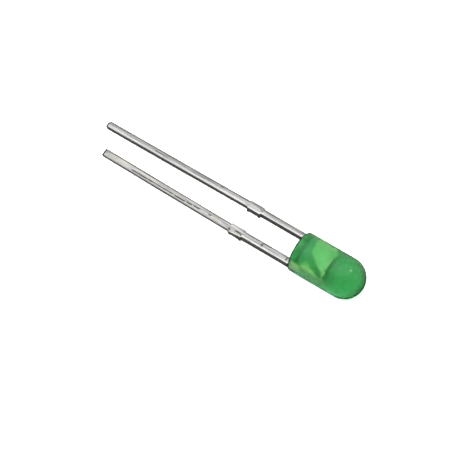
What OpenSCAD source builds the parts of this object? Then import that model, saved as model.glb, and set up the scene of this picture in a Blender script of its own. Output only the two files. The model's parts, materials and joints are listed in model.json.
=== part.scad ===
// Round 3 mm light-emitting diode with no flange, lying on its rear rim and its two lead tips.
// Working frame of every module: x runs along the body from the rear face towards the dome,
// y runs across the two leads, and z is square to the stamped sheet that the leads are cut from.

/* [Lens] */
// Diameter of the moulded epoxy body
lens_d = 3.0; // [2.9:0.05:3.4]
// Straight wall of the body, from its rear face to where the dome starts
barrel_len = 3.73; // [3.33:0.05:4.48]
// Radius of the rounded rim round the rear face
rim_r = 0.06; // [0.03:0.01:0.12]

/* [Leads] */
// Thickness of the stamped sheet
sheet_t = 0.4; // [0.3:0.02:0.5]
// Distance between the middles of the two leads at the rear face
lead_pitch = 2.28; // [2.2:0.02:2.36]
// Width of the long lead from the dam bar to the tip
anvil_lead_w = 0.52; // [0.4:0.02:0.6]
// Width of the short lead from the dam bar to the tip
post_lead_w = 0.56; // [0.4:0.02:0.6]
// Width of the long lead between the body and the dam bar
anvil_neck_w = 0.46; // [0.36:0.02:0.48]
// Width of the short lead between the body and the dam bar
post_neck_w = 0.54; // [0.36:0.02:0.56]
// Length of the long lead behind the rear face
anvil_lead_len = 17.45; // [12:0.05:28]
// Length of the short lead behind the rear face
post_lead_len = 16.2; // [11:0.05:27]
// Distance from the rear face to the cut-off dam bar
dam_gap = 3.95; // [2:0.05:6]
// Length of the dam bar's stub along the lead
dam_len = 1.15; // [0.6:0.05:2]
// How far the dam bar's stub stands out on each side of a lead
dam_stub = 0.06; // [0.03:0.01:0.15]
// Slope of the sheared end of the long lead, measured along the lead
anvil_shear = 0.22; // [0.02:0.02:0.4]
// Slope of the sheared end of the short lead, measured along the lead
post_shear = 0.06; // [0.02:0.02:0.4]
// Angle by which the long lead leans towards the short one, beyond the dam bar
anvil_toe_in = 0.4; // [0:0.1:1.5]
// Angle by which the short lead leans towards the long one, beyond the dam bar
post_toe_in = 0.7; // [0:0.1:1.5]
// Angle by which the short lead is twisted about itself, beyond the dam bar
post_twist = 15; // [0:1:18]

/* [Stamped frame inside the lens] */
// Distance from the rear face to the shoulders of the anvil and the post
shoulder_x = 0.8; // [0.6:0.05:1.1]
// Slant of the shoulders
shoulder_rise = 0.2; // [0.1:0.05:0.3]
// Height of the anvil above the rear face
anvil_top = 2.6; // [2.4:0.05:2.9]
// Height by which the post stands above the anvil
post_above = 0.1; // [0.05:0.05:0.3]
// How far the anvil's shoulder stops short of the middle
anvil_heel = 0.15; // [0.1:0.05:0.3]
// Distance from the middle to the anvil's edge on the post's side
anvil_inner = 0.66; // [0.6:0.02:0.7]
// Distance from the middle to the anvil's outer edge
anvil_outer = 1.15; // [1.0:0.05:1.25]
// Chamfer on the anvil's outer top corner
anvil_chamfer = 0.4; // [0.1:0.05:0.45]
// Gap between the anvil and the post, measured across the leads
frame_gap = 0.46; // [0.35:0.02:0.5]
// Distance from the middle to the post's inner edge at its top
post_inner = 0.9; // [0.86:0.02:0.94]
// Distance from the middle to the post's outer edge
post_outer = 1.28; // [1.2:0.02:1.34]

/* [Cup, die and wire] */
// Outer diameter of the reflector cup at its rim
cup_d = 1.1; // [1.0:0.02:1.2]
// Height of the cup's tapered outside
cup_h = 0.6; // [0.5:0.05:0.8]
// Wall of the cup at its rim
cup_wall = 0.09; // [0.05:0.01:0.12]
// Depth of the cup
cup_depth = 0.32; // [0.28:0.02:0.4]
// Diameter of the cup's floor
cup_floor_d = 0.5; // [0.44:0.02:0.6]
// Side of the square die
die_side = 0.26; // [0.2:0.01:0.28]
// Thickness of the die
die_t = 0.2; // [0.15:0.01:0.22]
// Diameter of the dab that holds the die
attach_d = 0.4; // [0.4:0.01:0.44]
// Thickness of the dab
attach_t = 0.02; // [0.01:0.005:0.04]
// Diameter of the bond wire
wire_d = 0.03; // [0.024:0.002:0.04]
// Diameter of the ball bond on the die
ball_d = 0.09; // [0.07:0.01:0.12]
// Height of the ball bond
ball_h = 0.03; // [0.02:0.005:0.05]

/* [Hidden] */
$fn = 96;

lens_r = lens_d / 2;
half_pitch = lead_pitch / 2;
stub_end = dam_gap + dam_len;
cup_floor_x = anvil_top - cup_depth;
die_x = cup_floor_x + attach_t;
die_top_x = die_x + die_t;
post_top = anvil_top + post_above;
post_mid = (post_inner + post_outer) / 2;
reach_in = 0.1; // overlap of a lead's outer run with its dam stub
clear = 1;      // how far a cutting body runs past what it cuts
anvil_side = 1; // the anvil's lead lies on the +y side
post_side = -1;

// The anvil's slanting edge and the post's run side by side at the same slope.
slant = (anvil_inner + anvil_heel) / (anvil_top - cup_wall - shoulder_x - shoulder_rise);
post_heel = frame_gap - anvil_heel;
post_slant_end = shoulder_x + shoulder_rise + (post_inner - post_heel) / slant;

// Rest pose: the plane z = offset + slope_x * x + slope_y * y that touches the rear rim from
// below and passes through the lowest corner of each lead's tip.
function rolled(p, angle) = [
    p.x,
    p.y * cos(angle) - p.z * sin(angle),
    p.y * sin(angle) + p.z * cos(angle)];
function turned(p, angle) = [
    p.x * cos(angle) - p.y * sin(angle),
    p.x * sin(angle) + p.y * cos(angle),
    p.z];
function on_lead(p, side, toe_in, twist) =
    [-stub_end, side * half_pitch, 0] + turned(rolled(p, twist), side * toe_in);

anvil_corner = on_lead(
    [stub_end - anvil_lead_len + anvil_shear, -anvil_lead_w / 2, -sheet_t / 2],
    anvil_side, anvil_toe_in, 0);
post_corner = on_lead(
    [stub_end - post_lead_len + post_shear, -post_lead_w / 2, -sheet_t / 2],
    post_side, post_toe_in, post_twist);

function plane_offset(sx, sy) =
    -(lens_r - rim_r) * norm([1, sy]) - sx * rim_r - rim_r * norm([1, sx, sy]);
// Each round refines both slopes; they have settled to a nanometre after six.
function rest_slopes(sx = 0, sy = 0, rounds = 6) =
    rounds == 0 ? [sx, sy] :
    let (
        a = anvil_corner,
        b = post_corner,
        offset = plane_offset(sx, sy),
        det = a.x * b.y - b.x * a.y,
        next_x = ((a.z - offset) * b.y - (b.z - offset) * a.y) / det,
        next_y = (a.x * (b.z - offset) - b.x * (a.z - offset)) / det
    )
    rest_slopes(next_x, next_y, rounds - 1);

slopes = rest_slopes();
rest_roll = -atan(slopes[1]);
rest_tilt = atan(slopes[0] / norm([1, slopes[1]]));
rest_height = -plane_offset(slopes[0], slopes[1]) / norm([1, slopes[0], slopes[1]]);

// Where a point of the working frame lies along x once the part is rolled and tilted to rest.
function rested_x(p) =
    p.x * cos(rest_tilt) + (p.y * sin(rest_roll) + p.z * cos(rest_roll)) * sin(rest_tilt);
back_x = rested_x(on_lead(
    [stub_end - anvil_lead_len, anvil_lead_w / 2, sheet_t / 2],
    anvil_side, anvil_toe_in, 0));
front_x = rested_x([barrel_len, 0, 0]) + lens_r;

module at_rest() {
    translate([-(back_x + front_x) / 2, 0, rest_height])
        rotate([0, rest_tilt, 0])
            rotate([rest_roll, 0, 0])
                children();
}

module sheet(outline) {
    linear_extrude(height = sheet_t, center = true) polygon(outline);
}

// Solid of revolution about the body's axis, from a profile of [radius, x].
module about_axis() {
    rotate([0, 90, 0]) rotate_extrude() children();
}

module cone_x(x, h, r_start, r_end) {
    translate([x, 0, 0]) rotate([0, 90, 0]) cylinder(h = h, r1 = r_start, r2 = r_end);
}

// Run of a lead behind its dam bar, from the stub back to a slanting sheared end.
module outer_run(side, length, width, shear, toe_in, twist) {
    run = length - stub_end;
    translate([-stub_end, side * half_pitch, 0])
        rotate([0, 0, side * toe_in]) rotate([twist + 90, 0, 0])
            linear_extrude(height = width, center = true) polygon([
                [reach_in, -sheet_t / 2],
                [reach_in, sheet_t / 2],
                [-run, sheet_t / 2],
                [-run + shear, -sheet_t / 2]]);
}

// Stub left by the cut-off dam bar, with its ends drawn in by the cutting tool.
module dam_stub_plate(side, width) {
    edge = width / 2;
    translate([0, side * half_pitch, 0]) sheet([
        [-dam_gap, edge], [-dam_gap - dam_stub, edge + dam_stub],
        [-stub_end + dam_stub, edge + dam_stub], [-stub_end, edge],
        [-stub_end, -edge], [-stub_end + dam_stub, -edge - dam_stub],
        [-dam_gap - dam_stub, -edge - dam_stub], [-dam_gap, -edge]]);
}

module anvil_blank() {
    inner = half_pitch - anvil_neck_w / 2;
    outer = half_pitch + anvil_neck_w / 2;
    sheet([
        [-dam_gap - reach_in, inner],
        [shoulder_x, inner],
        [shoulder_x + shoulder_rise, anvil_heel],
        [anvil_top - cup_wall, -anvil_inner],
        [anvil_top, -anvil_inner],
        [anvil_top, anvil_outer - anvil_chamfer],
        [anvil_top - 2 * anvil_chamfer, anvil_outer],
        [shoulder_x + shoulder_rise, anvil_outer],
        [shoulder_x, outer],
        [-dam_gap - reach_in, outer]]);
}

module anvil_lead() {
    color("silver") difference() {
        union() {
            anvil_blank();
            cone_x(anvil_top - cup_h, cup_h, sheet_t / 2, cup_d / 2);
            dam_stub_plate(anvil_side, anvil_lead_w);
            outer_run(anvil_side, anvil_lead_len, anvil_lead_w, anvil_shear, anvil_toe_in, 0);
        }
        cone_x(cup_floor_x, cup_depth, cup_floor_d / 2, cup_d / 2 - cup_wall);
        cone_x(anvil_top, clear, lens_r, lens_r);
    }
}

module post_blank() {
    inner = half_pitch - post_neck_w / 2;
    outer = half_pitch + post_neck_w / 2;
    sheet([
        [-dam_gap - reach_in, -outer],
        [shoulder_x, -outer],
        [shoulder_x + shoulder_rise, -post_outer],
        [post_top, -post_outer],
        [post_top, -post_inner],
        [post_slant_end, -post_inner],
        [shoulder_x + shoulder_rise, -post_heel],
        [shoulder_x, -inner],
        [-dam_gap - reach_in, -inner]]);
}

module post_lead() {
    color("silver") union() {
        post_blank();
        dam_stub_plate(post_side, post_lead_w);
        outer_run(post_side, post_lead_len, post_lead_w, post_shear, post_toe_in, post_twist);
    }
}

module die_attach() {
    color("gainsboro") cone_x(cup_floor_x, attach_t, attach_d / 2, attach_d / 2);
}

module die() {
    color("khaki") translate([die_x, -die_side / 2, -die_side / 2])
        cube([die_t, die_side, die_side]);
}

// The wire rises from the ball bond to the height of the post and arches over onto its top.
module bond_wire() {
    arch_r = post_mid / 2;
    color("gold") {
        cone_x(die_top_x, ball_h, ball_d / 2, ball_d / 2);
        cone_x(die_top_x, post_top - die_top_x, wire_d / 2, wire_d / 2);
        translate([post_top, -arch_r, 0]) rotate([0, 0, -90])
            rotate_extrude(angle = 180) translate([arch_r, 0]) circle(d = wire_d);
    }
}

// Outline of the lens as [radius, x]: a straight wall with a rounded rear rim and a round dome.
module lens_profile() {
    translate([0, rim_r]) square([lens_r, barrel_len - rim_r]);
    square([lens_r - rim_r, rim_r]);
    translate([lens_r - rim_r, rim_r]) circle(r = rim_r);
    intersection() {
        translate([0, barrel_len]) circle(r = lens_r);
        translate([0, barrel_len]) square([lens_r, lens_r]);
    }
}

// The resin is cast round everything that the frame carries, so all of it is cut out of the lens.
module lens() {
    color("limegreen", 0.6) difference() {
        mirror([0, 0, 1]) about_axis() lens_profile();
        anvil_lead();
        post_lead();
        die_attach();
        die();
        bond_wire();
    }
}

at_rest() lens();
at_rest() anvil_lead();
at_rest() post_lead();
at_rest() die();
at_rest() die_attach();
at_rest() bond_wire();
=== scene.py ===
"""Looks of a green 3 mm light-emitting diode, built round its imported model.

Every piece is modelled in the diode's own working frame, in millimetres: x along the body from
the rear face to the dome, y across the two leads, z square to the stamped sheet. LED_TO_ROW then
lays the finished mesh into the row frame, where the diode rests on its rear rim and lead tips.
"""

import json
import math
from collections import namedtuple

import bmesh
import bpy
from mathutils import Matrix, Vector


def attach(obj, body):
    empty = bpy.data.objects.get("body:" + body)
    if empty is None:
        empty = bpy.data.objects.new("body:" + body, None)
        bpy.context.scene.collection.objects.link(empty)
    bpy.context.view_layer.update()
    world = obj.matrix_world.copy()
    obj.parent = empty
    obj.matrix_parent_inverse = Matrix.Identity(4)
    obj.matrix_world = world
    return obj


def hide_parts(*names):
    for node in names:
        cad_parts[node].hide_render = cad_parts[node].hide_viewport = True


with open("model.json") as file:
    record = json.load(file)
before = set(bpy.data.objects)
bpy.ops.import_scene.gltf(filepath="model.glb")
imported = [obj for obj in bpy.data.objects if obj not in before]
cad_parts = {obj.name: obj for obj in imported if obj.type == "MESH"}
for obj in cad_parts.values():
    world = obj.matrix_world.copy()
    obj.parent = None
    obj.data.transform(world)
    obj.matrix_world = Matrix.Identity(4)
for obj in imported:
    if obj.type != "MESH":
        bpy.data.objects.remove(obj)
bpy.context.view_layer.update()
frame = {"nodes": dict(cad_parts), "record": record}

MM = 0.001
BODY = "root"

# Body
LENS_R = 1.5
BARREL_LEN = 3.73
RIM_R = 0.06
LENS_SEGMENTS = 192
DOME_RINGS = 48
RIM_RINGS = 6
REAR_RINGS = 46
MENISCUS_RISE = 0.07
MENISCUS_REACH = 0.07

# Leads. A side is the sign of y: the lead with the anvil lies at +y, the one with the post at -y
ANVIL_SIDE = 1
POST_SIDE = -1
SHEET_T = 0.4
HALF_PITCH = 1.14
ANVIL_LEAD_LEN = 17.45
POST_LEAD_LEN = 16.2
ANVIL_LEAD_W = 0.52
POST_LEAD_W = 0.56
ANVIL_NECK_W = 0.46
POST_NECK_W = 0.54
DAM_GAP = 3.95
DAM_LEN = 1.15
DAM_STUB = 0.06
STUB_END = DAM_GAP + DAM_LEN
ANVIL_SHEAR = 0.22
POST_SHEAR = 0.06
ANVIL_TOE_IN = math.radians(0.4)
POST_TOE_IN = math.radians(0.7)
POST_TWIST = math.radians(15)
REST_ROLL = math.radians(0.466)
RUN_STEPS = 40
NECK_STEPS = 10

# Stamped frame inside the lens. The flanks of anvil and post that face each other are parallel,
# and FLANK_SLANT is how far they go across for each millimetre along
SHOULDER_X = 0.8
SHOULDER_RISE = 0.2
SHOULDER_END = SHOULDER_X + SHOULDER_RISE
ANVIL_TOP = 2.6
POST_TOP = 2.7
ANVIL_HEEL = 0.15
ANVIL_INNER = 0.66
ANVIL_OUTER = 1.15
ANVIL_CHAMFER = 0.4
FRAME_GAP = 0.46
POST_INNER = 0.9
POST_OUTER = 1.28
CUP_R = 0.55
CUP_H = 0.6
CUP_WALL = 0.09
CUP_DEPTH = 0.32
CUP_FLOOR_R = 0.25
CUP_SEGMENTS = 64
FLANK_SLANT = (ANVIL_INNER + ANVIL_HEEL) / (ANVIL_TOP - CUP_WALL - SHOULDER_END)

# Edges of the sheet, as (across, down): rolled over by the punch, sheared off, or cast in
ROLLED_EDGE = (0.13, 0.05)
NECK_EDGE = (0.07, 0.04)
TORN_EDGE = (0.02, 0.02)
CAST_IN_EDGE = (0.05, 0.04)
BOTTOM_EDGE = (0.03, 0.03)
TOP_CROWN = 0.022
CORNER_STEPS = 6
FACE_STEPS = 6
CRISP_ANGLE = math.radians(40)

# The cutter pressed a slope into the top of a tip, as long as it is deep. TIP_EASED is left of it
# there, it is gone TIP_SLOPE_END behind the tip, and the plain run starts at TIP_RUN_START
TIP_CROPPED = 0.13
TIP_EASED = TIP_CROPPED / 6
TIP_SLOPE_END = 1.25 * TIP_CROPPED
TIP_RUN_START = 1.5 * TIP_CROPPED

# Torn corner under a cut-off dam bar, as (out, down), its share along the neck, and its share at
# places along the stub
BURR = (0.065, 0.09)
NECK_BURR = 0.45
TORN_STUB = ((0.02, 0.6), (0.1, 1.0), (0.25, 0.5), (0.9, 0.5), (1.03, 1.0), (1.13, 0.6))

# The reference view, found by matching the camera to the leads' and the body's outlines
CAMERA_AZIMUTH = 33.21
CAMERA_ELEVATION = 58.89
CAMERA_ROLL = 3.17
CAMERA_DISTANCE = 180.0
CAMERA_TARGET = (1.458, -1.809, 2.112)
CAMERA_LENS = 204.97
SENSOR_W = 36.0
CLIP_START = 0.01
CLIP_END = 10.0

# Light and floor. Angles are in degrees, and sizes and distances in metres
SKY_LEVEL = 0.32
HORIZON_LEVEL = 0.055
HORIZON_TOP = 0.4
PATCH_AZIMUTH = 213.0
PATCH_ELEVATION = 84.0
PATCH_LEVEL = 1.7
PATCH_INNER = 12.0
PATCH_OUTER = 42.0
FILL_AZIMUTH = 160.0
FILL_ELEVATION = 5.0
FILL_LEVEL = 0.55
FILL_INNER = 10.0
FILL_OUTER = 62.0
LIGHT_DISTANCE = 0.5
KEY_AZIMUTH = 315.0
KEY_ELEVATION = 62.0
KEY_POWER = 6.4
KEY_SIZE = 0.6
GLINT_AZIMUTH = 143.8
GLINT_ELEVATION = 59.7
GLINT_POWER = 0.42
GLINT_SIZE = 0.04
FLOOR_SIZE = 1.5
FLOOR_GLOW = 0.32
FLOOR_GRAIN_SCALE = 0.08
FLOOR_TONES = ((0.9, 0.9, 0.9, 1.0), (0.92, 0.92, 0.92, 1.0))
FLOOR_ROUGHNESS = 0.9
FLOOR_SPECULAR = 0.1
WHITE = (1.0, 1.0, 1.0, 1.0)


def mount(name):
    """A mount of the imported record, by its name."""
    return next(m for m in frame["record"]["mounts"] if m["name"] == name)


def led_to_row():
    """The working frame's place in the row frame: along the barrel's axis, rolled to the sheet."""
    axis = Vector(mount("barrel")["axis"])
    tilt = math.atan2(-axis.z, axis.x)
    turn = Matrix.Rotation(tilt, 4, "Y") @ Matrix.Rotation(REST_ROLL, 4, "X")
    return Matrix.Translation(mount("rear_face")["pos_m"]) @ turn @ Matrix.Scale(MM, 4)


LED_TO_ROW = led_to_row()


def direction(azimuth, elevation):
    """Unit vector from the part towards a viewer. Azimuth 0 stands at -Y, and 90 at +X."""
    a = math.radians(azimuth)
    e = math.radians(elevation)
    return Vector((math.sin(a) * math.cos(e), -math.cos(a) * math.cos(e), math.sin(e)))


def add_camera():
    """The camera at the reference view, turned about its own axis to the picture's horizon."""
    data = bpy.data.cameras.new("camera")
    data.lens = CAMERA_LENS
    data.sensor_width = SENSOR_W
    data.clip_start = CLIP_START
    data.clip_end = CLIP_END
    camera = bpy.data.objects.new("camera", data)
    bpy.context.collection.objects.link(camera)
    back = direction(CAMERA_AZIMUTH, CAMERA_ELEVATION)
    roll = Matrix.Rotation(math.radians(CAMERA_ROLL), 4, "Z")
    camera.matrix_world = (
        Matrix.Translation((Vector(CAMERA_TARGET) + back * CAMERA_DISTANCE) * MM)
        @ (-back).to_track_quat("-Z", "Y").to_matrix().to_4x4()
        @ roll
    )
    bpy.context.scene.camera = camera


# Node helpers


class Shader:
    """A material's node tree, with short calls to add and join its nodes. MARK_FADE is how far
    either way a mark's ends fade out, in millimetres."""

    MARK_FADE = 0.05

    def __init__(self, name):
        self.material = bpy.data.materials.new(name)
        self.material.use_nodes = True
        self.tree = self.material.node_tree
        self.principled = self.tree.nodes["Principled BSDF"]
        self.output = self.tree.nodes["Material Output"]

    def add(self, kind, settings=(), **inputs):
        node = self.tree.nodes.new("ShaderNode" + kind)
        for key, value in dict(settings).items():
            setattr(node, key, value)
        for key, value in inputs.items():
            self.put(node, key.replace("_", " "), value)
        return node

    def put(self, node, socket, value):
        """Links a socket to another node's output, or gives it a plain value."""
        if isinstance(value, bpy.types.NodeSocket):
            self.tree.links.new(value, node.inputs[socket])
        else:
            node.inputs[socket].default_value = value

    def coat(self, **inputs):
        """Sets or links sockets of the Principled node."""
        for key, value in inputs.items():
            self.put(self.principled, key.replace("_", " "), value)

    def led_coordinates(self):
        """Position in the diode's working frame, in millimetres."""
        position = self.add("NewGeometry").outputs["Position"]
        back = LED_TO_ROW.inverted()
        rows = []
        for axis in range(3):
            row = self.add("VectorMath", {"operation": "DOT_PRODUCT"}, Vector=position)
            row.inputs[1].default_value = back[axis][:3]
            shift = self.add("Math", {"operation": "ADD"}, Value=row.outputs["Value"])
            shift.inputs[1].default_value = back[axis][3]
            rows.append(shift.outputs[0])
        return self.add("CombineXYZ", X=rows[0], Y=rows[1], Z=rows[2]).outputs[0]

    def facing(self, towards):
        """How far the surface faces a direction of the working frame, from -1 to 1."""
        normal = self.add("NewGeometry").outputs["Normal"]
        aligned = self.add("VectorMath", {"operation": "DOT_PRODUCT"}, Vector=normal)
        aligned.inputs[1].default_value = (LED_TO_ROW.to_3x3() @ Vector(towards)).normalized()
        return aligned.outputs["Value"]

    def stroke(self, x, y, mark):
        """Mask of a mark that runs along x, given as (from x, to x, middle y, half width)."""
        start, end, middle, half_width = mark
        fade = self.MARK_FADE
        entered = self.remap(x, start - fade, start + fade, 0.0, 1.0)
        left = self.remap(x, end - fade, end + fade, 1.0, 0.0)
        aside = self.size(self.math("SUBTRACT", y, middle))
        inside = self.remap(aside, half_width / 2, half_width, 1.0, 0.0)
        return self.math("MULTIPLY", self.math("MULTIPLY", entered, left), inside)

    def stretched(self, vector, scale):
        """Coordinates scaled along each axis, so that noise runs out in streaks."""
        node = self.add("VectorMath", {"operation": "MULTIPLY"}, Vector=vector)
        node.inputs[1].default_value = scale
        return node.outputs[0]

    def noise(self, vector, scale, detail=3.0, roughness=0.55):
        node = self.add("TexNoise", Vector=vector, Scale=scale, Detail=detail, Roughness=roughness)
        return node.outputs["Fac"]

    def grain(self, vector, recipe):
        """Stretched noise, given as (stretch along each axis, scale, detail)."""
        stretch, scale, detail = recipe
        return self.noise(self.stretched(vector, stretch), scale, detail)

    def remap(self, value, low, high, to_low, to_high):
        node = self.add("MapRange", Value=value)
        numbers = {"From Min": low, "From Max": high, "To Min": to_low, "To Max": to_high}
        for key, number in numbers.items():
            self.put(node, key, number)
        return node.outputs[0]

    def math(self, operation, first, second):
        node = self.add("Math", {"operation": operation})
        self.put(node, 0, first)
        self.put(node, 1, second)
        return node.outputs[0]

    def size(self, value):
        """A value without its sign."""
        return self.math("MAXIMUM", value, self.math("MULTIPLY", value, -1.0))

    def mix_value(self, factor, first, second):
        return self.remap(factor, 0.0, 1.0, first, second)

    def mix(self, factor, first, second):
        """Blend of two colours. A Mix node has its colour sockets at 6 and 7, and out at 2."""
        node = self.add("Mix", {"data_type": "RGBA"})
        self.put(node, 0, factor)
        self.put(node, 6, first)
        self.put(node, 7, second)
        return node.outputs[2]

    def bump(self, height, depth, strength=1.0):
        """Relief of the given depth in millimetres."""
        node = self.add("Bump", Height=height, Distance=depth * MM, Strength=strength)
        self.coat(Normal=node.outputs[0])


# Materials. A ramp is (from, to, value at from, value at to), and a grain is (stretch along each
# axis, scale, detail). Places are in the working frame, and facings run from -1 to 1

# Cast epoxy: what it absorbs, with a density to the metre, its gloss, its clouds, its skin and the
# painted shade round its rear rim, a thin dark line painted into the resin's colour
RESIN_TINT = (0.06, 0.64, 0.26, 1.0)
RESIN_DENSITY = 1000.0
RESIN_IOR = 1.48
RESIN_GLOSS_TINT = (0.04, 0.1, 0.06, 1.0)
CLOUD_SCALE = 1.6
CLOUD_ROUGHNESS_RAMP = (0.3, 0.7, 0.29, 0.35)
GRAZING_RAMP = (0.5, 0.9, 1.0, 0.4)
SKIN_IOR = 1.25
SKIN_ROUGHNESS = 0.16
SKIN_WAVE_SCALE = 4.0
SKIN_WAVE_DEPTH = 0.008
SKIN_WAVE_STRENGTH = 0.5
RIM_SHADE_TONE = (0.02, 0.07, 0.04, 1.0)
RIM_SHADE_ALONG_RAMP = (0.08, 0.13, 1.0, 0.0)
RIM_SHADE_FROM_AXIS_RAMP = (LENS_R - 0.12, LENS_R - 0.06, 0.0, 1.0)
ACROSS = (0.0, 1.0, 1.0)


def epoxy_material():
    """Cast epoxy, tinted green through and through. It is faintly uneven and softens what lies
    in it, and a thin line of painted shade darkens it round its rear rim."""
    s = Shader("tinted_epoxy")
    place = s.led_coordinates()
    along = s.add("SeparateXYZ", Vector=place).outputs["X"]
    from_axis = s.add(
        "VectorMath", {"operation": "LENGTH"}, Vector=s.stretched(place, ACROSS)
    ).outputs["Value"]
    # Painted shade: a thin dark line round the rear rim, painted into the resin's colour
    painted_rim_shade = s.math(
        "MULTIPLY", s.remap(along, *RIM_SHADE_ALONG_RAMP), s.remap(from_axis, *RIM_SHADE_FROM_AXIS_RAMP)
    )
    diffusing = s.remap(s.noise(place, CLOUD_SCALE), *CLOUD_ROUGHNESS_RAMP)
    grazing = s.remap(s.add("LayerWeight").outputs["Facing"], *GRAZING_RAMP)
    s.coat(
        Base_Color=s.mix(painted_rim_shade, WHITE, RIM_SHADE_TONE),
        Transmission_Weight=1.0,
        IOR=RESIN_IOR,
        Roughness=s.math("MULTIPLY", diffusing, grazing),
        Specular_Tint=RESIN_GLOSS_TINT,
        Coat_Weight=1.0,
        Coat_IOR=SKIN_IOR,
        Coat_Roughness=SKIN_ROUGHNESS,
    )
    s.bump(s.noise(place, SKIN_WAVE_SCALE), SKIN_WAVE_DEPTH, SKIN_WAVE_STRENGTH)
    tint = s.add("VolumeAbsorption", Color=RESIN_TINT, Density=RESIN_DENSITY)
    s.tree.links.new(tint.outputs[0], s.output.inputs["Volume"])
    return s.material


# Tin outside the resin: streaks along the lead, yellowish blotches and scratches
STREAK_GRAIN = ((0.35, 9.0, 9.0), 1.5, 4.0)
STREAK_RAMP = (0.38, 0.62, 0.0, 1.0)
STREAK_TONES = ((0.23, 0.228, 0.225, 1.0), (0.5, 0.496, 0.49, 1.0))
STREAK_ROUGHNESS_RAMP = (0.3, 0.7, 0.34, 0.22)
BLOTCH_GRAIN = ((0.5, 1.5, 1.5), 1.3, 4.0)
BLOTCH_FROM = 0.45
BLOTCH_TO = 0.7
BLOTCH_TONE = (0.38, 0.37, 0.3, 1.0)
SCRATCH_GRAIN = ((0.18, 11.0, 11.0), 3.1, 2.0)
SCRATCH_RAMP = (0.62, 0.68, 0.0, 1.0)
SCRATCH_TONE = (0.11, 0.105, 0.095, 1.0)
SCRATCH_CUT = 0.6
RELIEF_DEPTH = 0.01
RELIEF_STRENGTH = 0.6
PLATED_METALLIC = 0.8

# Its edges: painted highlight on the near side, painted shade on the far side and the cropped ends,
# and bare where cut, with painted shade darkening the cut sides
NEAR_SIDE_HIGHLIGHT_RAMP = (-0.13, -0.05, 0.4, 0.0)
NEAR_SIDE_HIGHLIGHT_TONE = (0.7, 0.69, 0.67, 1.0)
FAR_EDGE_SHADE_RAMP = (0.04, 0.3, 0.0, 0.7)
END_SHADE_RAMP = (0.2, 0.4, 0.0, 1.0)
MARK_AND_SHADE_TONE = (0.04, 0.037, 0.033, 1.0)
CUT_FROM = 0.55
CUT_TO = 0.85
BARE_SIDE_AND_SHADE_TONE = (0.16, 0.158, 0.15, 1.0)

# Tin inside the resin: matt and mottled, with painted shade darkening it to green towards the wall
CAST_IN_RAMP = (0.0, 0.05, 0.0, 1.0)
CAST_IN_ROUGHNESS = 0.6
MOTTLE_SCALE = 2.6
MOTTLE_RAMP = (0.42, 0.62, 0.0, 0.4)
MOTTLE_TONE = (0.45, 0.6, 0.3, 1.0)
WALL_SHADE_RAMP = (0.9, 1.14, 0.0, 1.0)
WALL_SHADE_ALONG_RAMP = (0.7, 1.0, 0.45, 1.0)
WALL_SHADE_TONE = (0.16, 0.34, 0.15, 1.0)
CAST_IN_SIDE_SHADE_TONE = (0.13, 0.32, 0.14, 1.0)
CAST_IN_SIDE_SHADE_RAMP = (0.95, 1.15, 0.3, 1.0)
# The post's matt plating is the same as the anvil's, painted darker as shade
ANVIL_LIT_MATT_TONE = (1.0, 0.86, 0.63, 1.0)
POST_SHADED_MATT_TONE = (0.74, 0.74, 0.42, 1.0)
ANVIL_YELLOWING = 0.1
POST_YELLOWING = 0.6

# Dark marks on each lead, as (from x, to x, middle y, half width): rolling marks, and painted shade
# in dents, creases and along the resin's edge
ANVIL_MARKS_AND_SHADE = (
    (-13.2, -12.1, 1.05, 0.04),
    (-7.6, -7.3, 1.2, 0.045),
    (-4.1, -3.9, 1.12, 0.045),
)
POST_MARKS_AND_SHADE = (
    (-13.6, -10.0, -1.2, 0.055),
    (-9.8, -8.9, -1.23, 0.06),
    (-8.8, -8.3, -1.21, 0.065),
    (-8.2, -7.65, -1.19, 0.065),
    (-6.9, -6.7, -1.18, 0.07),
    (-5.1, -4.96, -1.34, 0.14),
    (-4.6, -4.1, -1.24, 0.07),
    (-4.15, -4.0, -1.3, 0.1),
    (-2.44, -2.3, -1.14, 0.17),
    (-2.4, -1.65, -0.97, 0.045),
    (-0.36, -0.26, -1.12, 0.22),
)
MARK_BREAK_GRAIN = ((4.0, 10.0, 10.0), 1.0, 3.0)
MARK_BREAK_RAMP = (0.4, 0.5, 0.65, 1.0)


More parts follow.
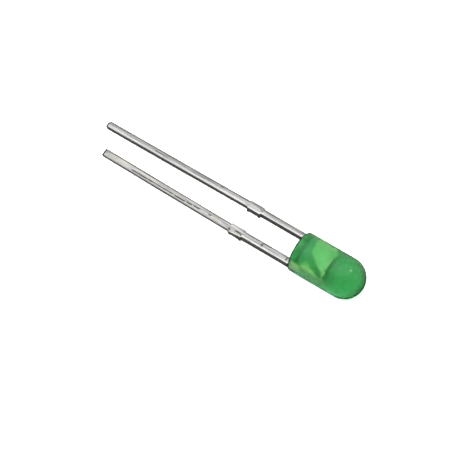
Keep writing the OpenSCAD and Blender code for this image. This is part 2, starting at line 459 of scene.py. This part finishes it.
def tin_material(name, yellowing, twist, marks, matt_tone):
    """Dull tin plating on rolled sheet, with streaks along the lead, blotches and scratches.
    Painted highlight lights its near edges and painted shade darkens its far edges, ends and bare
    cut sides; the part cast into the resin is plated matt and pale, painted darker by the wall."""
    s = Shader(name)
    place = s.led_coordinates()
    streaks = s.grain(place, STREAK_GRAIN)
    blotches = s.grain(place, BLOTCH_GRAIN)
    scratch_mask = s.remap(s.grain(place, SCRATCH_GRAIN), *SCRATCH_RAMP)
    pale = s.mix(s.remap(streaks, *STREAK_RAMP), *STREAK_TONES)
    stain_mask = s.remap(blotches, BLOTCH_FROM, BLOTCH_TO, 0.0, yellowing)
    scratched = s.mix(scratch_mask, s.mix(stain_mask, pale, BLOTCH_TONE), SCRATCH_TONE)
    parts = s.add("SeparateXYZ", Vector=place)
    x = parts.outputs["X"]
    y = parts.outputs["Y"]
    off_centre = s.size(y)

    # Dark marks: rolling marks, and painted shade in dents, creases and along the resin's edge
    marks_and_shade = 0.0
    for mark in marks:
        marks_and_shade = s.math("MAXIMUM", marks_and_shade, s.stroke(x, y, mark))
    broken = s.remap(s.grain(place, MARK_BREAK_GRAIN), *MARK_BREAK_RAMP)
    marks_and_shade = s.math("MULTIPLY", marks_and_shade, broken)
    neck = s.remap(x, -STUB_END, -DAM_GAP, 0.0, 1.0)
    run_aside = s.facing((0.0, math.cos(twist), math.sin(twist)))
    aside = s.mix_value(neck, run_aside, s.facing((0.0, 1.0, 0.0)))
    # Painted highlight: faces turned towards -y, the near side, are painted lighter
    painted_highlight = s.mix(s.remap(aside, *NEAR_SIDE_HIGHLIGHT_RAMP), scratched, NEAR_SIDE_HIGHLIGHT_TONE)
    endwise = s.size(s.facing((1.0, 0.0, 0.0)))
    # Painted shade: faces turned towards +y, the far side, and the cropped ends are painted dark
    painted_edge_shade = s.math("MAXIMUM", s.remap(aside, *FAR_EDGE_SHADE_RAMP), s.remap(endwise, *END_SHADE_RAMP))
    plated = s.mix(s.math("MAXIMUM", marks_and_shade, painted_edge_shade), painted_highlight, MARK_AND_SHADE_TONE)

    cast_in = s.remap(x, *CAST_IN_RAMP)
    # Painted shade: the matt metal turns darker green towards the lens wall
    painted_wall_shade = s.math(
        "MULTIPLY", s.remap(off_centre, *WALL_SHADE_RAMP), s.remap(x, *WALL_SHADE_ALONG_RAMP)
    )
    mottling = s.remap(s.noise(place, MOTTLE_SCALE), *MOTTLE_RAMP)
    matt = s.mix(painted_wall_shade, s.mix(mottling, matt_tone, MOTTLE_TONE), WALL_SHADE_TONE)
    # Side faces: bare steel where cut, painted darker as shade outside the resin and painted dark
    # green as shade inside it, deepening towards the wall
    side_bare_and_shade = s.mix(cast_in, BARE_SIDE_AND_SHADE_TONE, CAST_IN_SIDE_SHADE_TONE)
    side_shade_share = s.mix_value(cast_in, 1.0, s.remap(off_centre, *CAST_IN_SIDE_SHADE_RAMP))
    flat = s.size(s.facing((0.0, 0.0, 1.0)))
    # Painted shade: the side faces take the darkened bare tone
    cut = s.remap(flat, CUT_FROM, CUT_TO, side_shade_share, 0.0)
    plated_roughness = s.remap(streaks, *STREAK_ROUGHNESS_RAMP)
    matt_roughness = s.mix_value(cast_in, 0.0, CAST_IN_ROUGHNESS)
    s.coat(
        Base_Color=s.mix(cut, s.mix(cast_in, plated, matt), side_bare_and_shade),
        Metallic=s.mix_value(cast_in, PLATED_METALLIC, 0.0),
        Roughness=s.math("MAXIMUM", plated_roughness, matt_roughness),
    )
    relief = s.math("SUBTRACT", streaks, s.math("MULTIPLY", scratch_mask, SCRATCH_CUT))
    s.bump(relief, RELIEF_DEPTH, RELIEF_STRENGTH)
    return s.material


# The sealed die, its adhesive and the bond wire
SAW_GRAIN = ((30.0, 30.0, 4.0), 1.0, 3.0)
SAW_TONES = ((0.5, 0.42, 0.16, 1.0), (0.72, 0.66, 0.34, 1.0))
SAW_ROUGHNESS_RAMP = (0.3, 0.7, 0.2, 0.4)
SAW_DEPTH = 0.003
CRYSTAL_IOR = 2.4
FLAKE_SCALE = 45.0
FLAKE_DETAIL = 1.0
FLAKE_TONES = ((0.55, 0.55, 0.54, 1.0), (0.85, 0.85, 0.84, 1.0))
FLAKE_ROUGHNESS_RAMP = (0.3, 0.7, 0.25, 0.6)
FLAKE_DEPTH = 0.004
FLAKE_METALLIC = 0.8
DRAWN_GRAIN = ((8.0, 60.0, 60.0), 1.0, 3.0)
GOLD_TONES = ((0.95, 0.68, 0.26, 1.0), (1.0, 0.8, 0.4, 1.0))
GOLD_ROUGHNESS_RAMP = (0.3, 0.7, 0.12, 0.22)


def crystal_material():
    """The die: a gallium crystal with faint marks of the saw."""
    s = Shader("semiconductor")
    saw_marks = s.grain(s.led_coordinates(), SAW_GRAIN)
    s.coat(
        Base_Color=s.mix(saw_marks, *SAW_TONES),
        Roughness=s.remap(saw_marks, *SAW_ROUGHNESS_RAMP),
        IOR=CRYSTAL_IOR,
    )
    s.bump(saw_marks, SAW_DEPTH)
    return s.material


def adhesive_material():
    """Silver-filled adhesive, with flakes that glint."""
    s = Shader("silver_epoxy")
    flakes = s.noise(s.led_coordinates(), FLAKE_SCALE, FLAKE_DETAIL)
    s.coat(
        Base_Color=s.mix(flakes, *FLAKE_TONES),
        Metallic=FLAKE_METALLIC,
        Roughness=s.remap(flakes, *FLAKE_ROUGHNESS_RAMP),
    )
    s.bump(flakes, FLAKE_DEPTH)
    return s.material


def gold_material():
    """Drawn gold wire, with fine lines along it."""
    s = Shader("gold")
    lines = s.grain(s.led_coordinates(), DRAWN_GRAIN)
    s.coat(
        Base_Color=s.mix(lines, *GOLD_TONES),
        Metallic=1.0,
        Roughness=s.remap(lines, *GOLD_ROUGHNESS_RAMP),
    )
    return s.material


# Mesh helpers


def finish_piece(bm, name, material, nodes):
    """Turns a mesh made in the working frame into a piece that stands for CAD nodes."""
    bmesh.ops.recalc_face_normals(bm, faces=bm.faces)
    mesh = bpy.data.meshes.new(name)
    bm.to_mesh(mesh)
    bm.free()
    mesh.transform(LED_TO_ROW)
    mesh.materials.append(material)
    mesh.shade_smooth()
    piece = bpy.data.objects.new(name, mesh)
    bpy.context.collection.objects.link(piece)
    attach(piece, BODY)
    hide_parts(*nodes)
    return piece


def bridge(bm, rings):
    """Joins neighbouring rings of the same number of vertices with quads."""
    for low, high in zip(rings, rings[1:]):
        count = len(low)
        for i in range(count):
            j = (i + 1) % count
            bm.faces.new((low[i], low[j], high[j], high[i]))


def fan(bm, ring, tip):
    """Closes a ring onto one vertex."""
    for i in range(len(ring)):
        bm.faces.new((ring[i], ring[(i + 1) % len(ring)], tip))


def cone(bm, x, height, start_r, end_r):
    """Adds a closed cone along the body's axis, with radius start_r at x and end_r at x + height."""
    bmesh.ops.create_cone(
        bm,
        cap_ends=True,
        segments=CUP_SEGMENTS,
        radius1=start_r,
        radius2=end_r,
        depth=height,
        matrix=Matrix.Translation((x + height / 2, 0, 0)) @ Matrix.Rotation(math.pi / 2, 4, "Y"),
    )


def cut_by(bm, tool, operation):
    """The mesh after a boolean with a tool mesh, both in the working frame."""
    objects = []
    for part in (bm, tool):
        bmesh.ops.recalc_face_normals(part, faces=part.faces)
        mesh = bpy.data.meshes.new("boolean_part")
        part.to_mesh(mesh)
        part.free()
        thing = bpy.data.objects.new("boolean_part", mesh)
        bpy.context.collection.objects.link(thing)
        objects.append(thing)
    body, cutter = objects
    modifier = body.modifiers.new("cut", "BOOLEAN")
    modifier.object = cutter
    modifier.operation = operation
    modifier.solver = "EXACT"
    depsgraph = bpy.context.evaluated_depsgraph_get()
    result = bmesh.new()
    result.from_mesh(body.evaluated_get(depsgraph).to_mesh())
    for thing in objects:
        mesh = thing.data
        bpy.data.objects.remove(thing)
        bpy.data.meshes.remove(mesh)
    return result


# Lens


def beyond(value, low, high):
    """How far a value lies outside a span."""
    return max(low - value, value - high, 0.0)


def meniscus(y, z):
    """How far resin has crept up the leads, behind the rear face, at one place of that face."""
    rise = 0.0
    for side, width in ((ANVIL_SIDE, ANVIL_NECK_W), (POST_SIDE, POST_NECK_W)):
        middle = side * HALF_PITCH
        gap = math.hypot(
            beyond(y, middle - width / 2, middle + width / 2),
            beyond(z, -SHEET_T / 2, SHEET_T / 2),
        )
        rise = max(rise, MENISCUS_RISE * math.exp(-gap / MENISCUS_REACH))
    edge_fade = min(1.0, (LENS_R - math.hypot(y, z)) / RIM_R)
    return rise * max(0.0, edge_fade)


def lens_outline():
    """Stations of the lens's surface as (x, radius), from the middle of its rear to the dome."""
    flat_r = LENS_R - RIM_R
    outline = [(0.0, flat_r * (i + 1) / REAR_RINGS) for i in range(REAR_RINGS)]
    for i in range(1, RIM_RINGS + 1):
        a = math.pi / 2 * i / RIM_RINGS
        outline.append((RIM_R * (1 - math.cos(a)), flat_r + RIM_R * math.sin(a)))
    outline.append((BARREL_LEN / 2, LENS_R))
    for i in range(DOME_RINGS):
        a = math.pi / 2 * i / DOME_RINGS
        outline.append((BARREL_LEN + LENS_R * math.sin(a), LENS_R * math.cos(a)))
    return outline


def build_lens(material):
    """The body as one turned skin, whose rear rises in a meniscus round each lead."""
    bm = bmesh.new()
    rings = []
    for x, r in lens_outline():
        on_rear = x < RIM_R / 2
        ring = []
        for i in range(LENS_SEGMENTS):
            a = 2 * math.pi * i / LENS_SEGMENTS
            y = r * math.cos(a)
            z = r * math.sin(a)
            crept = meniscus(y, z) if on_rear else 0.0
            ring.append(bm.verts.new((x - crept, y, z)))
        rings.append(ring)
    bridge(bm, rings)
    fan(bm, rings[0], bm.verts.new((-meniscus(0.0, 0.0), 0.0, 0.0)))
    fan(bm, rings[-1], bm.verts.new((BARREL_LEN + LENS_R, 0.0, 0.0)))
    finish_piece(bm, "lens_body", material, ["lens"])


# Leads

# A section of a lead: its place along x, its span across y, its top edge's rounding, how far the
# cutter pressed its top down, and its share of the burr
Station = namedtuple("Station", "x low_y high_y edge crop burr", defaults=(0.0, 0.0))


def sheet_section(station):
    """Outline of the sheet across the lead as (y, z), with its edges' own roundings."""
    half_t = SHEET_T / 2
    middle = (station.low_y + station.high_y) / 2
    half_w = (station.high_y - station.low_y) / 2
    corners = (
        (1, 1, station.edge),
        (-1, 1, station.edge),
        (-1, -1, BOTTOM_EDGE),
        (1, -1, BOTTOM_EDGE),
    )
    points = []
    for quarter, (side_y, side_z, (across, down)) in enumerate(corners):
        for i in range(CORNER_STEPS + 1):
            a = math.pi / 2 * (quarter + i / CORNER_STEPS)
            y = side_y * (half_w - across) + across * math.cos(a)
            z = side_z * (half_t - down) + down * math.sin(a)
            if side_y < 0 and side_z < 0:
                y -= BURR[0] * station.burr
                z -= BURR[1] * station.burr
            points.append((y, z))
        if quarter == 0:
            inner = half_w - across
            for i in range(1, FACE_STEPS):
                points.append((inner * (1 - 2 * i / FACE_STEPS), half_t))
    crowned = []
    for y, z in points:
        if z > 0:
            z -= TOP_CROWN * (y / half_w) ** 2 + station.crop
        crowned.append((middle + y, z))
    return crowned


def smooth_step(value):
    """Smooth rise from 0 to 1 while the value goes from 0 to 1."""
    t = min(1.0, max(0.0, value))
    return t * t * (3 - 2 * t)


def lead_stations(side, neck_w, lead_w, length, frame_edges):
    """Sections of the lead from its tip to the top of the stamped frame."""
    stations = []

    def add(x, width, edge, crop=0.0, burr=0.0):
        middle = side * HALF_PITCH
        stations.append(Station(x, middle - width / 2, middle + width / 2, edge, crop, burr))

    add(-length, lead_w, TORN_EDGE, TIP_CROPPED)
    add(-length + TIP_CROPPED, lead_w, ROLLED_EDGE, TIP_EASED)
    add(-length + TIP_SLOPE_END, lead_w, ROLLED_EDGE)
    run_start = -length + TIP_RUN_START
    for i in range(RUN_STEPS + 1):
        add(run_start + (-STUB_END - run_start) * i / RUN_STEPS, lead_w, ROLLED_EDGE)
    stub_w = lead_w + 2 * DAM_STUB
    for along, burr in TORN_STUB:
        add(-STUB_END + along, stub_w, TORN_EDGE, burr=burr)
    for i in range(NECK_STEPS + 1):
        add(-DAM_GAP * (1 - i / NECK_STEPS), neck_w, NECK_EDGE, burr=NECK_BURR)
    add(SHOULDER_X, neck_w, CAST_IN_EDGE)
    return stations + [Station(x, low, high, CAST_IN_EDGE) for x, low, high in frame_edges]


def lead_mesh(side, stations, shear, toe_in, twist):
    """A lead and its frame as one skin over its stations. Its run behind the dam bar is bent."""
    bm = bmesh.new()
    rings = []
    for station in stations:
        past_stub = smooth_step((-DAM_GAP - station.x) / DAM_LEN)
        ring = []
        for y, z in sheet_section(station):
            local = Vector((station.x + STUB_END, y - side * HALF_PITCH, z))
            if station is stations[0]:
                end_top = SHEET_T / 2 - station.crop
                local.x += shear * (end_top - z) / (end_top + SHEET_T / 2)
            local = Matrix.Rotation(twist * past_stub, 3, "X") @ local
            if local.x < 0:
                local = Matrix.Rotation(side * toe_in, 3, "Z") @ local
            ring.append(bm.verts.new(local + Vector((-STUB_END, side * HALF_PITCH, 0.0))))
        rings.append(ring)
    bridge(bm, rings)
    bm.faces.new(rings[0])
    bm.faces.new(rings[-1])
    return bm


def finish_lead(bm, name, material, node):
    """A lead as a piece, with its sheared edges kept crisp."""
    piece = finish_piece(bm, name, material, [node])
    piece.data.set_sharp_from_angle(angle=CRISP_ANGLE)


def build_anvil_lead(material):
    """The longer lead with its anvil, whose top is swaged out into the reflector cup."""
    slant_top = ANVIL_TOP - CUP_WALL
    outer_turn = ANVIL_TOP - 2 * ANVIL_CHAMFER
    turn_inner = ANVIL_HEEL - FLANK_SLANT * (outer_turn - SHOULDER_END)
    edges = [
        (SHOULDER_END, ANVIL_HEEL, ANVIL_OUTER),
        (outer_turn, turn_inner, ANVIL_OUTER),
        (slant_top, -ANVIL_INNER, ANVIL_OUTER - ANVIL_CHAMFER + CUP_WALL / 2),
        (ANVIL_TOP, -ANVIL_INNER, ANVIL_OUTER - ANVIL_CHAMFER),
    ]
    stations = lead_stations(ANVIL_SIDE, ANVIL_NECK_W, ANVIL_LEAD_W, ANVIL_LEAD_LEN, edges)
    bm = lead_mesh(ANVIL_SIDE, stations, ANVIL_SHEAR, ANVIL_TOE_IN, 0.0)
    swage = bmesh.new()
    cone(swage, ANVIL_TOP - CUP_H, CUP_H, SHEET_T / 2, CUP_R)
    bm = cut_by(bm, swage, "UNION")
    dish = bmesh.new()
    steep = (CUP_R - CUP_WALL - CUP_FLOOR_R) / CUP_DEPTH
    dish_h = 2 * CUP_DEPTH
    cone(dish, ANVIL_TOP - CUP_DEPTH, dish_h, CUP_FLOOR_R, CUP_FLOOR_R + dish_h * steep)
    bm = cut_by(bm, dish, "DIFFERENCE")
    finish_lead(bm, "anvil_lead_plated", material, "anvil_lead")


def build_post_lead(material):
    """The shorter lead with its post, whose flank runs beside the anvil's."""
    heel = FRAME_GAP - ANVIL_HEEL
    slant_end = SHOULDER_END + (POST_INNER - heel) / FLANK_SLANT
    edges = [
        (SHOULDER_END, -POST_OUTER, -heel),
        (slant_end, -POST_OUTER, -POST_INNER),
        (POST_TOP, -POST_OUTER, -POST_INNER),
    ]
    stations = lead_stations(POST_SIDE, POST_NECK_W, POST_LEAD_W, POST_LEAD_LEN, edges)
    bm = lead_mesh(POST_SIDE, stations, POST_SHEAR, POST_TOE_IN, POST_TWIST)
    finish_lead(bm, "post_lead_plated", material, "post_lead")


def dress_node(name, material):
    """Gives a CAD node that stays a material of its own."""
    node = frame["nodes"][name]
    node.data.materials.clear()
    node.data.materials.append(material)


# Stage


def add_floor():
    """A plain pale floor, which glows a little and doesn't show in the gloss."""
    mesh = bpy.data.meshes.new("floor")
    bm = bmesh.new()
    bmesh.ops.create_grid(bm, x_segments=1, y_segments=1, size=FLOOR_SIZE)
    bm.to_mesh(mesh)
    bm.free()
    floor = bpy.data.objects.new("floor", mesh)
    bpy.context.collection.objects.link(floor)
    s = Shader("floor_paper")
    grain = s.noise(s.led_coordinates(), FLOOR_GRAIN_SCALE)
    s.coat(
        Base_Color=s.mix(grain, *FLOOR_TONES),
        Roughness=FLOOR_ROUGHNESS,
        Specular_IOR_Level=FLOOR_SPECULAR,
        Emission_Color=WHITE,
        Emission_Strength=FLOOR_GLOW,
    )
    mesh.materials.append(s.material)
    floor.visible_glossy = False


def add_softbox(name, azimuth, elevation, size, power):
    """A round light that faces the part from a direction."""
    data = bpy.data.lights.new(name, "AREA")
    data.shape = "DISK"
    data.size = size
    data.energy = power
    light = bpy.data.objects.new(name, data)
    bpy.context.collection.objects.link(light)
    towards = direction(azimuth, elevation)
    light.location = towards * LIGHT_DISTANCE
    light.rotation_mode = "QUATERNION"
    light.rotation_quaternion = (-towards).to_track_quat("-Z", "Y")
    return light


def set_world():
    """A dim sky that darkens towards the horizon, with a broad bright patch overhead and a
    softer one low on the far side."""
    world = bpy.data.worlds.new("studio")
    world.use_nodes = True
    bpy.context.scene.world = world
    tree = world.node_tree
    background = tree.nodes["Background"]
    background.inputs["Color"].default_value = WHITE
    coordinates = tree.nodes.new("ShaderNodeTexCoord").outputs["Generated"]

    def ramp(value, low, high, to_low, to_high):
        node = tree.nodes.new("ShaderNodeMapRange")
        node.interpolation_type = "SMOOTHSTEP"
        numbers = {"From Min": low, "From Max": high, "To Min": to_low, "To Max": to_high}
        for key, number in numbers.items():
            node.inputs[key].default_value = number
        tree.links.new(value, node.inputs["Value"])
        return node.outputs[0]

    def patch(azimuth, elevation, inner, outer, level):
        facing = tree.nodes.new("ShaderNodeVectorMath")
        facing.operation = "DOT_PRODUCT"
        facing.inputs[1].default_value = direction(azimuth, elevation)
        tree.links.new(coordinates, facing.inputs[0])
        edge = math.cos(math.radians(outer))
        full = math.cos(math.radians(inner))
        return ramp(facing.outputs["Value"], edge, full, 0.0, level)

    heights = tree.nodes.new("ShaderNodeSeparateXYZ")
    tree.links.new(coordinates, heights.inputs[0])
    level = ramp(heights.outputs["Z"], 0.0, HORIZON_TOP, HORIZON_LEVEL, SKY_LEVEL)
    for light in (
        patch(PATCH_AZIMUTH, PATCH_ELEVATION, PATCH_INNER, PATCH_OUTER, PATCH_LEVEL),
        patch(FILL_AZIMUTH, FILL_ELEVATION, FILL_INNER, FILL_OUTER, FILL_LEVEL),
    ):
        total = tree.nodes.new("ShaderNodeMath")
        total.operation = "ADD"
        tree.links.new(level, total.inputs[0])
        tree.links.new(light, total.inputs[1])
        level = total.outputs[0]
    tree.links.new(level, background.inputs["Strength"])


add_camera()
build_lens(epoxy_material())
build_anvil_lead(
    tin_material("tinned_sheet", ANVIL_YELLOWING, 0.0, ANVIL_MARKS_AND_SHADE, ANVIL_LIT_MATT_TONE)
)
build_post_lead(
    tin_material("tinned_sheet_stained", POST_YELLOWING, POST_TWIST, POST_MARKS_AND_SHADE, POST_SHADED_MATT_TONE)
)
dress_node("die", crystal_material())
dress_node("die_attach", adhesive_material())
dress_node("bond_wire", gold_material())

add_floor()
set_world()
key = add_softbox("key", KEY_AZIMUTH, KEY_ELEVATION, KEY_SIZE, KEY_POWER)
key.visible_glossy = False
add_softbox("glint", GLINT_AZIMUTH, GLINT_ELEVATION, GLINT_SIZE, GLINT_POWER)
bpy.context.scene.view_settings.view_transform = "Standard"
